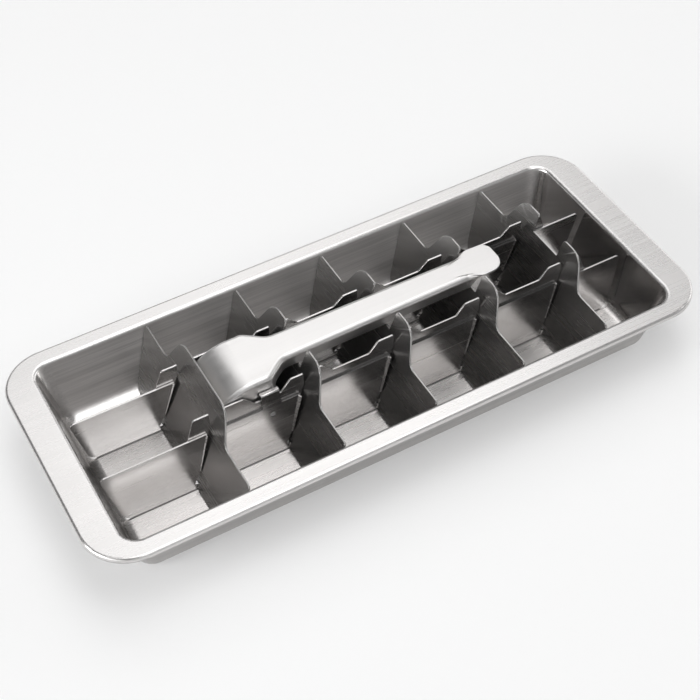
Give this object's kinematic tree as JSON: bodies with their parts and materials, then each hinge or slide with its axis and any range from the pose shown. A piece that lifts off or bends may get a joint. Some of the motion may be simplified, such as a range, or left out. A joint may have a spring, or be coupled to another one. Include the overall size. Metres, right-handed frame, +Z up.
{
  "type": "lever ice cube tray",
  "caption": "Drawn steel ice cube tray with a lift-out grid of dividers; lifting the long lever slides the upper dividers and rocks the cross dividers to break the ice loose.",
  "frame": {"origin": "middle of the pan's underside", "axes": "+X along the tray from the lever's head to its tongue, +Y across the tray, +Z up"},
  "size_m": [0.2774, 0.115, 0.0444],
  "materials": {
    "pan_sheet": "brushed along the tray",
    "fixed_sheet": "brushed along the sheet",
    "slide_sheet": "brushed along the sheet",
    "cross_sheet": "fine brushed",
    "lever_sheet": "satin",
    "pin_steel": "satin"
  },
  "bodies": {
    "tray": {"tray_pan": "pan_sheet"},
    "grid": {"near_fixed_divider": "fixed_sheet", "far_fixed_divider": "fixed_sheet", "lever_pivot_pin": "pin_steel"},
    "slider": {"near_slide_divider": "slide_sheet", "far_slide_divider": "slide_sheet"},
    "lever": {"release_lever": "lever_sheet"},
    "cross_1": {"cross_divider_1": "cross_sheet"},
    "cross_2": {"cross_divider_2": "cross_sheet"},
    "cross_3": {"cross_divider_3": "cross_sheet"},
    "cross_4": {"cross_divider_4": "cross_sheet"},
    "cross_5": {"cross_divider_5": "cross_sheet"}
  },
  "joints": [
    {"name": "grid_lift_out", "type": "slide", "parent": "tray", "child": "grid", "axis": [0, 0, 1], "range_m": [0, 0.06]},
    {"name": "lever_hinge", "type": "hinge", "parent": "grid", "child": "lever", "pos_m": [-0.0477, 0, 0.0239], "axis": [0, -1, 0], "range_deg": [0, 85]},
    {"name": "slider_travel", "type": "slide", "parent": "grid", "child": "slider", "axis": [-1, 0, 0], "range_m": [0, 0.00174]},
    {"name": "cross_1_swing", "type": "hinge", "parent": "grid", "child": "cross_1", "pos_m": [-0.08149, 0, 0.0089], "axis": [0, -1, 0], "range_deg": [0, 3]},
    {"name": "cross_2_swing", "type": "hinge", "parent": "grid", "child": "cross_2", "pos_m": [-0.04009, 0, 0.0089], "axis": [0, -1, 0], "range_deg": [0, 3]},
    {"name": "cross_3_swing", "type": "hinge", "parent": "grid", "child": "cross_3", "pos_m": [0.00131, 0, 0.0089], "axis": [0, -1, 0], "range_deg": [0, 3]},
    {"name": "cross_4_swing", "type": "hinge", "parent": "grid", "child": "cross_4", "pos_m": [0.04271, 0, 0.0089], "axis": [0, -1, 0], "range_deg": [0, 3]},
    {"name": "cross_5_swing", "type": "hinge", "parent": "grid", "child": "cross_5", "pos_m": [0.08391, 0, 0.0089], "axis": [0, -1, 0], "range_deg": [0, 3.05]}
  ],
  "couplings": [
    {"joint": "slider_travel", "follows": "lever_hinge", "m_per_rad": 0.0011699},
    {"joint": "cross_1_swing", "follows": "lever_hinge", "ratio": 0.035294},
    {"joint": "cross_2_swing", "follows": "lever_hinge", "ratio": 0.035294},
    {"joint": "cross_3_swing", "follows": "lever_hinge", "ratio": 0.035294},
    {"joint": "cross_4_swing", "follows": "lever_hinge", "ratio": 0.035294},
    {"joint": "cross_5_swing", "follows": "lever_hinge", "ratio": 0.035823}
  ]
}
